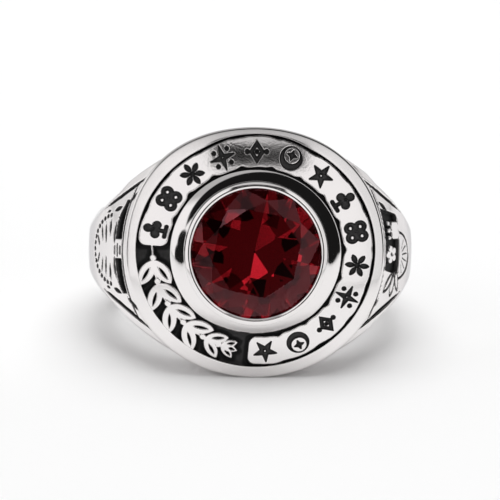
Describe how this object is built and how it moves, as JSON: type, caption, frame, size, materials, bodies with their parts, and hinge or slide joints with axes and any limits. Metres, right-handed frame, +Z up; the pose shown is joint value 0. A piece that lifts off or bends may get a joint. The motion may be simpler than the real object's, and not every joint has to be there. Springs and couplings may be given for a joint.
{
  "type": "officer ring",
  "caption": "Heavy cast silver signet-style ring with a domed oval head, a raised ornament band, sunk shoulder panels and a round faceted red stone.",
  "frame": {"origin": "middle of the resting ring's outline on the surface that it lies on", "axes": "+Z up; the ring lies on its side with its head towards -Y, and X runs across the head"},
  "size_m": [0.0252, 0.0282, 0.0183],
  "materials": {
    "silver": "polished cast silver, blackened in the recesses",
    "red_stone": "clear deep red, faceted and polished"
  },
  "bodies": {
    "root": {"ring_body": "silver", "stone": "red_stone"}
  },
  "joints": []
}
